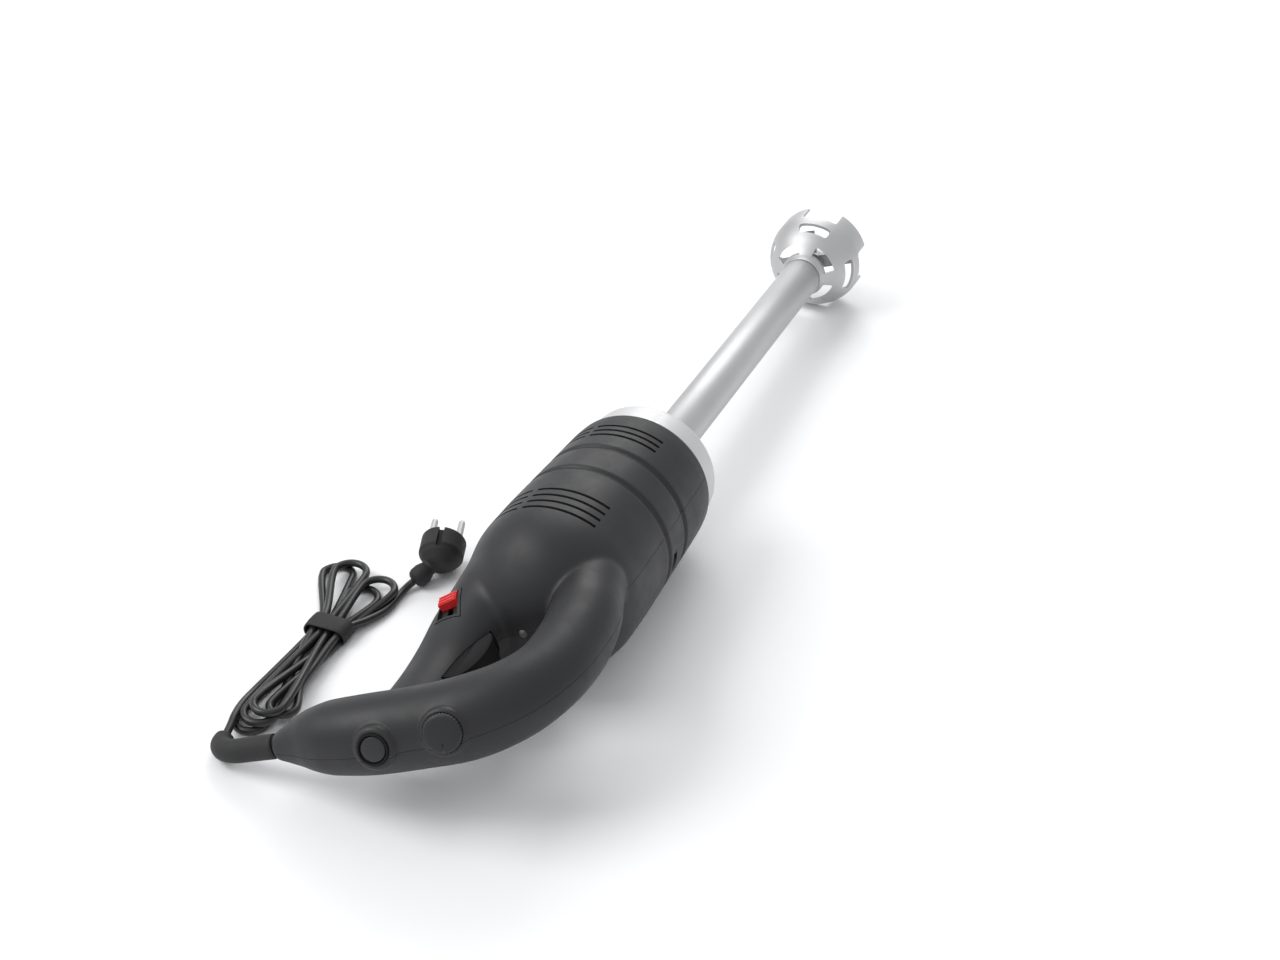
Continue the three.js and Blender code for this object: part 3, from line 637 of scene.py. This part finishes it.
# ---------------------------------------------------------------- strain relief
# x, y, z and radius along the strain relief.
BOOT = [(-304.6, 98, 0, 6.9), (-304.7, 100.8, 0, 6.9), (-304.8, 101.2, 0, 5.9), (-305, 113.7, 0, 5.9),
        (-305.1, 114.1, 0, 7.6), (-305.2, 115, 0, 7.8), (-306.4, 131, -0.8, 7.7), (-307.2, 145, -1.6, 7.5),
        (-305, 154.5, -2, 7.3), (-300, 160.5, -2, 7), (-294.2, 162.6, -2, 6.4), (-293.2, 162.8, -2, 5.8),
        (-292.9, 162.85, -2, 4.2)]


def boot():
    """A tapered sleeve, bent towards the hank."""
    line = catmull([Vector(p[:3]) for p in BOOT], 6)
    size = catmull([Vector((i, p[3], 0)) for i, p in enumerate(BOOT)], 6)
    rings = []
    for i, (c, s) in enumerate(zip(line, size)):
        along = heading(line, i).normalized()
        side = Vector((0, 0, 1)).cross(along).normalized()
        up = along.cross(side)
        rings.append([c + side * s.y * math.cos(a) + up * s.y * math.sin(a) for a in round_angles(48)])
    return shade(solid("cord_boot", loft(rings)), 45)


piece(boot(), "machine", "rubber", "strain_relief")


# ---------------------------------------------------------------- controls
def standing(name, points, place, sides=96, wave=None):
    """A body of revolution about the Z of place."""
    return shade(solid(name, moved(revolve(points, sides, wave), UPRIGHT), place), 35)


BUTTON = [(-10, 0), (-10, 7.9), (4.3, 7.9), (4.75, 7.75), (5.05, 7.4), (5.25, 6.8), (5.45, 5), (5.6, 3),
          (5.65, 0)]
piece(standing("start_push_cap", BUTTON, START), "start_push", "blackg", "start_button")
RING = [(2.2, 8.3), (2.2, 9.8), (4.9, 9.8), (5.4, 9.65), (5.7, 9.25), (5.7, 8.85), (5.4, 8.45), (4.9, 8.3)]
piece(standing("start_ring", RING, START), "machine", "rubber", "start_button_ring")


DIAL = [(-14, 0), (-14, 3), (-1.7, 3), (-1.7, 11.8), (3.4, 11.8), (4.4, 11.5), (5.1, 10.9), (5.5, 10),
        (5.8, 8), (6.1, 5), (6.25, 2.5), (6.3, 0)]
KNURLED = (3, 4, 5)    # the points of DIAL that carry the ribs
RIBS = 36
RIB_HEIGHT = 0.16


def knurl(i, angle):
    return RIB_HEIGHT * math.cos(RIBS * angle) if i in KNURLED else 0


def dial():
    obj = standing("speed_wheel_cap", DIAL, SPEED, 6 * RIBS, knurl)
    groove = solid("groove", block(-0.4, 0.4, 5.5, 10.6, 5.5, 8), SPEED)
    return shade(boolean(obj, "DIFFERENCE", groove), 35)


piece(dial(), "speed_wheel", "black", "speed_dial")


# The trigger's outline in the plane of the handle; TRIGGER_BACK is the last point, hidden in the housing.
TRIGGER = [(-203, 25.4), (-200.6, 22), (-200.8, 13), (-207, 7.4), (-216, 4.6), (-227, 4), (-238, 5.6),
           (-246.5, 10.5), (-248.6, 17), (-247.4, 23.4)]
TRIGGER_BACK = Vector((-226, 25, 0))
TRIGGER_HALF = 7.9


def trigger():
    outline = catmull([Vector((x, y, 0)) for x, y in TRIGGER], 6) + [TRIGGER_BACK]
    sides = [[p + Vector((0, 0, z)) for p in outline] for z in (-TRIGGER_HALF, TRIGGER_HALF)]
    obj = solid("trigger_blade", loft(sides))
    boolean(obj, "DIFFERENCE", solid("pin", post(-205, 20, -20, 20, 2.3)))
    return shade(bevel(obj, 1.0, 3, 50), 40)


piece(trigger(), "trigger_lever", "black", "trigger")


def lock_slide():
    """A red knob with three ribs, and the stem that goes through the slot."""
    obj = solid("lock_knob", block(-14.8, -6.2, -6.5, 6.5, -2.3, 3.3), LOCK)
    for x in (-13.1, -10.5, -7.9):
        boolean(obj, "UNION", solid("rib", block(x - 0.7, x + 0.7, -6.1, 6.1, 2.5, 4.0), LOCK))
    boolean(obj, "UNION", solid("stem", block(-12.4, -8.8, -1.8, 1.8, -6.2, -2), LOCK))
    return shade(bevel(obj, 0.45, 3, 40), 40)


piece(lock_slide(), "lock_slider", "red", "lock_slide")


def lock_tray():
    """The pocket that the lock slide runs in, trimmed to the web's surface."""
    obj = solid("lock_recess", block(-17, 6, -9, 9, -4.2, 3), LOCK)
    boolean(obj, "INTERSECT", solid("web", spine_form(-0.3, 8, 72)))
    boolean(obj, "DIFFERENCE", solid("pocket", block(-15.5, 4.5, -7.2, 7.2, -2.6, 5), LOCK),
            solid("slot", block(-12.7, 2, -2.2, 2.2, -6, 0), LOCK))
    return shade(bevel(obj, 0.4, 3, 40), 40)


piece(lock_tray(), "machine", "black", "lock_tray")


# ---------------------------------------------------------------- screws, lamp and blade
def screw(x, y, seat):
    """A screw with a round head and a cross in it; the head lies at the foot of its seat."""
    head = [(seat - 2.6, 0), (seat - 2.6, 2.8), (seat - 2.3, 3.4), (seat - 1.9, 3.6), (seat - 0.3, 3.6)]
    shank = [(seat - 0.3, 2), (8.4, 2), (9, 1.4), (9, 0)]
    obj = solid("cross_screw", moved(revolve(head + shank, 40), Matrix.Translation((x, y, 0)) @ UPRIGHT))
    for dx, dy in ((0.5, 2.1), (2.1, 0.5)):
        boolean(obj, "DIFFERENCE", solid("bar", block(x - dx, x + dx, y - dy, y + dy, seat - 4, seat - 1.5)))
    return shade(obj, 35)


for number, place in enumerate(SCREWS, 1):
    piece(screw(*place), "machine", "steel", "housing_screw_%d" % number)

LENS = [(-193.4, 0), (-193.35, 0.8), (-193.1, 1.6), (-192.6, 2.3), (-192, 2.75), (-191.3, 3), (-184, 3),
        (-184, 0)]
piece(shade(solid("lamp_lens", moved(revolve(LENS, 48), LAMP)), 40), "machine", "lens", "indicator_lens")

SEAL = [(331, 5.2), (331, 11.5), (337.2, 11.5), (337.5, 11.2), (337.5, 8.4), (336.6, 7.4), (336.6, 5.9),
        (336, 5.2)]
piece(shade(solid("shaft_seal", revolve(SEAL, 72)), 40), "machine", "rubber", "lip_seal")


def wing(reach, half, lean, x, turn):
    """One arm of the blade: a flat bar that leans, set at x and turned about the shaft."""
    place = Matrix.Rotation(turn, 4, "X") @ Matrix.Translation((x, 0, 0)) @ lean
    return moved(block(-1.1, 1.1, 6, reach, -half, half), place)


def bored(obj, x0):
    """The object with the shaft's bore through it, from x0."""
    return boolean(obj, "DIFFERENCE", solid("bore", revolve([(x0, 0), (x0, 5.3), (380, 5.3), (380, 0)], 48)))


def blade():
    """A hub with two long flat arms and two short raised ones."""
    obj = solid("cross_blade", revolve([(364, 0), (364, 9), (371, 9), (371, 0)], 72))
    flat, raised = Matrix.Rotation(0.3, 4, "Y"), Matrix.Rotation(-0.35, 4, "Z")
    for side in (0, 1):
        boolean(obj, "UNION", solid("wing", wing(33, 6.5, flat, 367.5, side * math.pi)),
                solid("wing", wing(26, 5, raised, 366, (side + 0.5) * math.pi)))
    return shade(bevel(bored(obj, 360), 0.55, 2, 40), 40)


def nut():
    outline = [(371.3, 0), (371.3, 7.6), (371.7, 8), (376.6, 8), (377, 7.6), (377, 0)]
    obj = solid("end_nut", moved(revolve(outline, 6), CORNER_UP))
    return shade(bevel(bored(obj, 370), 0.25, 2, 30), 30)


def shaft():
    """The drive shaft, with a hexagon at its driven end."""
    obj = solid("drive_rod", revolve([(3.4, 0), (3.4, 5), (378.2, 5), (379, 4.2), (379, 0)], 64))
    key = moved(revolve([(-3.2, 0), (-3.2, 5), (4, 5), (4, 0)], 6), CORNER_UP)
    return shade(boolean(obj, "UNION", solid("key", key)), 35)


piece(blade(), "blade_shaft", "steel", "blade")
piece(nut(), "blade_shaft", "steel", "blade_nut")
piece(shaft(), "blade_shaft", "steel", "drive_shaft")


def coil(name, radius, wire, z0, z1, turns, place):
    """A coil spring along the Z of place, between z0 and z1; wire is its wire's radius."""
    steps = turns * 24
    line = []
    for k in range(steps + 1):
        angle = 2 * math.pi * turns * k / steps
        rise = z0 + wire + (z1 - z0 - 2 * wire) * k / steps
        line.append((place @ Vector((radius * math.cos(angle), radius * math.sin(angle), rise))) * MM)
    return tube(name, line, wire * MM, 10)


SPRING_FOOT = -17.2
SPRING_TOP = -10.4
start_coil = coil("start_coil", 5, 0.6, SPRING_FOOT, SPRING_TOP, 3, START)
piece(start_coil, "machine", "steel", "start_spring")
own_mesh(start_coil)


# ---------------------------------------------------------------- plug
PLUG = (Matrix.Translation((RIM.x - 75, RIM.y + 115, 18.6)) @ Matrix.Rotation(math.radians(17), 4, "Z")
        @ Matrix.Rotation(math.radians(-12), 4, "Y"))
TAIL = (Matrix.Translation((-15, 0, 0)) @ Matrix.Rotation(math.radians(-42), 4, "Z")
        @ Matrix.Rotation(math.radians(-14), 4, "Y"))
PLUG_FORM = [(-24, 0), (-24, 6), (-22.5, 8.5), (-17.5, 13.2), (-15.5, 14.2), (-14, 15.5), (-0.8, 15.6),
             (0, 14.9), (0, 0)]
TAIL_FORM = [(-24.5, 0), (-24.5, 4.4), (-23.5, 5.9), (-22.2, 6.8), (-20.5, 7.2), (-16.5, 7.2), (-13, 6.2),
             (-11.5, 5.4), (-6, 6), (2, 7), (2, 0)]
PIN = [(-7, 0), (-7, 2.4), (16, 2.4), (17.6, 2.25), (18.6, 1.7), (19, 0.9), (19, 0)]
PIN_HOLE = [(-8, 0), (-8, 2.7), (5, 2.7), (5, 0)]
PIN_Y = 9.5


def beside(points, sides, y):
    """A body of revolution about a line beside the plug's own axis."""
    return moved(revolve(points, sides), Matrix.Translation((0, y, 0)))


def plug():
    """The plug's body with its tail, a notch above and below, and the holes of its pins."""
    obj = solid("plug_shell", together(revolve(PLUG_FORM, 160), moved(revolve(TAIL_FORM, 96), TAIL)), PLUG)
    remeshed(obj, 0.45, 3)
    cutters = [solid("notch", block(-16, 5, -1.9, 1.9, z0, z1), PLUG)
               for z0, z1 in ((11.6, 25), (-25, -11.6))]
    cutters += [solid("hole", beside(PIN_HOLE, 40, y), PLUG) for y in (PIN_Y, -PIN_Y)]
    return shade(boolean(obj, "DIFFERENCE", *cutters), 40)


plug_shell = piece(plug(), "machine", "rubber", "plug_body")
for side, y in (("left", PIN_Y), ("right", -PIN_Y)):
    pin = shade(solid("contact_" + side, beside(PIN, 48, y), PLUG), 40)
    piece(pin, "machine", "steel", "plug_pin_" + side)

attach(lead, "machine")
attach(tie, "machine")
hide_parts("cord_lead", "cord_hank", "plug_lead")
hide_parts("hank_tie")


# ---------------------------------------------------------------- materials
class Nodes:
    """Short words for building a material's node tree."""

    def __init__(self, name):
        self.material = bpy.data.materials.new(name)
        self.material.use_nodes = True
        self.tree = self.material.node_tree
        self.shader = self.tree.nodes["Principled BSDF"]
        self.coords = self.tree.nodes.new("ShaderNodeTexCoord").outputs["Object"]

    def add(self, kind, **inputs):
        node = self.tree.nodes.new(kind)
        for key, value in inputs.items():
            socket = node.inputs[key.replace("_", " ")]
            if isinstance(value, bpy.types.NodeSocket):
                self.tree.links.new(value, socket)
            else:
                socket.default_value = value
        return node

    def scaled(self, x, y, z):
        return self.add("ShaderNodeMapping", Vector=self.coords, Scale=(x, y, z)).outputs["Vector"]

    def noise(self, scale, detail, rough=0.5, vector=None):
        node = self.add("ShaderNodeTexNoise", Vector=vector or self.coords, Scale=scale, Detail=detail,
                        Roughness=rough)
        return node.outputs["Fac"]

    def span(self, value, low, high, from_low=0.0, from_high=1.0):
        node = self.add("ShaderNodeMapRange", Value=value)
        node.inputs["From Min"].default_value = from_low
        node.inputs["From Max"].default_value = from_high
        node.inputs["To Min"].default_value = low
        node.inputs["To Max"].default_value = high
        return node.outputs["Result"]

    def mix(self, factor, a, b):
        node = self.tree.nodes.new("ShaderNodeMix")
        node.data_type = "RGBA"
        for key, value in ((0, factor), (6, a), (7, b)):
            if isinstance(value, bpy.types.NodeSocket):
                self.tree.links.new(value, node.inputs[key])
            else:
                node.inputs[key].default_value = value
        return node.outputs[2]

    def bump(self, height, distance, strength=1.0, after=None):
        node = self.add("ShaderNodeBump", Height=height, Distance=distance, Strength=strength)
        if after:
            self.tree.links.new(after, node.inputs["Normal"])
        return node.outputs["Normal"]

    def set(self, **inputs):
        for key, value in inputs.items():
            socket = self.shader.inputs[key.replace("_", " ")]
            if isinstance(value, bpy.types.NodeSocket):
                self.tree.links.new(value, socket)
            else:
                socket.default_value = value
        return self.material


def rgb(r, g, b):
    return (r, g, b, 1.0)


def times(colour, factor):
    return rgb(*[c * factor for c in colour])


WORN_FROM = 0.52
WORN_FULL = 0.62


def edge_wear(n):
    """1 along worn outer edges, from the geometry's pointiness."""
    point = n.tree.nodes.new("ShaderNodeNewGeometry").outputs["Pointiness"]
    return n.span(point, 0.0, 1.0, WORN_FROM, WORN_FULL)


def moulded(name, colour, worn, roughness=(0.42, 0.58), grain=0.00006, gloss=0.5):
    """Moulded plastic: fine texture, faint flow variation, handling marks and paler edges."""
    n = Nodes(name)
    flow = n.noise(9.0, 4.0)
    marks = n.noise(35.0, 5.0, 0.65)
    fine = n.noise(1500.0, 2.0)
    base = n.mix(n.span(flow, 0, 1, 0.35, 0.65), times(colour, 0.9), times(colour, 1.1))
    base = n.mix(n.span(edge_wear(n), 0, 0.55), base, rgb(*worn))
    rough = n.span(marks, *roughness, 0.3, 0.7)
    fresh = n.bump(fine, grain)
    wavy = n.bump(flow, 0.0002, 0.15, after=fresh)
    return n.set(Base_Color=base, Roughness=rough, Normal=wavy, Specular_IOR_Level=gloss)


def soft_rubber(name, colour):
    """Matt rubber with a fine grain and paler, duller dust."""
    n = Nodes(name)
    dust = n.noise(60.0, 5.0, 0.7)
    fine = n.noise(2200.0, 2.0)
    base = n.mix(n.span(dust, 0, 1, 0.4, 0.8), rgb(*colour), rgb(*[c * 1.5 + 0.004 for c in colour]))
    return n.set(Base_Color=base, Roughness=n.span(dust, 0.6, 0.8, 0.3, 0.7),
                 Normal=n.bump(fine, 0.00005))


def metal(name, colour, roughness, stretch=(70, 2600, 2600), lines=0.000008):
    """Bare metal with fine lines, faint stains and paler worn edges; stretch sets the way the lines run."""
    n = Nodes(name)
    brushed = n.noise(1.0, 2.0, 0.6, n.scaled(*stretch))
    stains = n.noise(26.0, 4.0, 0.6)
    base = n.mix(n.span(stains, 0, 1, 0.35, 0.7), rgb(*colour), times(colour, 0.95))
    base = n.mix(n.span(edge_wear(n), 0, 0.4), base, rgb(*[min(c * 1.15, 0.9) for c in colour]))
    rough = n.span(brushed, *roughness, 0.25, 0.75)
    return n.set(Base_Color=base, Metallic=1.0, Roughness=rough, Normal=n.bump(brushed, lines))


BLACK = (0.0135, 0.0138, 0.0148)
MATERIALS = {
    "black": moulded("moulded_black", BLACK, (0.05, 0.05, 0.053), gloss=0.42),
    "blackg": moulded("smooth_black", BLACK, (0.05, 0.05, 0.05), (0.36, 0.5), 0.00003),
    "red": moulded("moulded_red", (0.62, 0.008, 0.012), (0.8, 0.12, 0.1), (0.2, 0.34), 0.00002),
    "lens": moulded("frosted_lens", (0.07, 0.07, 0.072), (0.16, 0.16, 0.16), (0.45, 0.6), 0.00004),
    "rubber": soft_rubber("soft_black", (0.009, 0.009, 0.0095)),
    "wire": moulded("lead_sheath", (0.012, 0.012, 0.0125), (0.03, 0.03, 0.03), (0.3, 0.42), 0.00002),
    "steel": metal("brushed_steel", (0.52, 0.52, 0.52), (0.47, 0.57)),
    "alu": metal("cast_aluminium", (0.63, 0.63, 0.63), (0.55, 0.65), (220, 220, 220), 0.00003),
    "insul": moulded("laminate", (0.2, 0.13, 0.06), (0.3, 0.22, 0.12)),
    "copper": metal("bare_copper", (0.72, 0.34, 0.19), (0.25, 0.4), (900, 900, 90), 0.0001),
    "iron": metal("laminations", (0.3, 0.3, 0.31), (0.4, 0.55), (1800, 6, 6), 0.0001),
    "brass": metal("bright_brass", (0.72, 0.6, 0.36), (0.2, 0.32)),
    "carbon": moulded("pressed_carbon", (0.02, 0.02, 0.022), (0.06, 0.06, 0.06)),
    "green": moulded("coated_board", (0.02, 0.13, 0.05), (0.1, 0.3, 0.15)),
}

SLOT_OF = {part["node"]: part["material_slot"] for part in frame["record"]["subparts"]}
for name, obj in NODES.items():
    obj.data.materials.clear()
    obj.data.materials.append(MATERIALS[SLOT_OF[name]])
# Near-black and dull: the button ring's own colour; on the trigger, partly painted shade for the finger
# opening.
DULL_BLACK_AND_SHADE = moulded("dull_black_and_shade", (0.004, 0.004, 0.0045), (0.03, 0.03, 0.032), (0.7, 0.85), gloss=0.2)
# A darker copy of the steel: painted shade for the bell's inside.
BELL_PAINTED_SHADE = metal("bell_inside_painted_shade", (0.16, 0.16, 0.165), (0.5, 0.62))
# Looks that differ from the slot's own: a dull black button ring, a dull trigger whose near-black is partly
# its own colour and partly painted shade for the finger opening, and blackened screws.
OWN = {
    "trigger_blade": DULL_BLACK_AND_SHADE,
    "start_ring": DULL_BLACK_AND_SHADE,
    "cross_screw": metal("blackened_steel", (0.10, 0.10, 0.105), (0.45, 0.6)),
}
for obj, slot in PIECES + [(lead, "wire"), (tie, "rubber")]:
    obj.data.materials.clear()
    obj.data.materials.append(OWN.get(obj.name.split(".")[0], MATERIALS[slot]))
    # The bell's second material paints the shade inside it.
    if obj.name == "bell_guard":
        obj.data.materials.append(BELL_PAINTED_SHADE)


# ---------------------------------------------------------------- floor and light
def plane(name, size):
    """A square at the origin; size is half its side."""
    bm = bmesh.new()
    bmesh.ops.create_grid(bm, x_segments=1, y_segments=1, size=size)
    return mesh_object(name, bm)


ground = plane("floor", 6.0)
white = Nodes("floor_white")
ground.data.materials.append(white.set(Base_Color=rgb(0.93, 0.93, 0.93), Roughness=0.9))

world = bpy.data.worlds.new("studio")
world.use_nodes = True
sky = world.node_tree.nodes["Background"].inputs
sky["Color"].default_value = rgb(0.965, 0.975, 1.0)
sky["Strength"].default_value = 0.75
bpy.context.scene.world = world
bpy.context.scene.view_settings.view_transform = "Standard"


def softbox(name, place, side, power):
    """A square light, side metres across, turned to the origin."""
    light = bpy.data.lights.new(name, "AREA")
    light.shape = "RECTANGLE"
    light.size = light.size_y = side
    light.energy = power
    obj = link(bpy.data.objects.new(name, light))
    obj.location = place
    obj.rotation_euler = (-Vector(place)).to_track_quat("-Z", "Y").to_euler()


softbox("key", (-0.9, 1.9, 2.2), 1.6, 46)
softbox("back", (1.9, 0.6, 1.6), 1.4, 22)
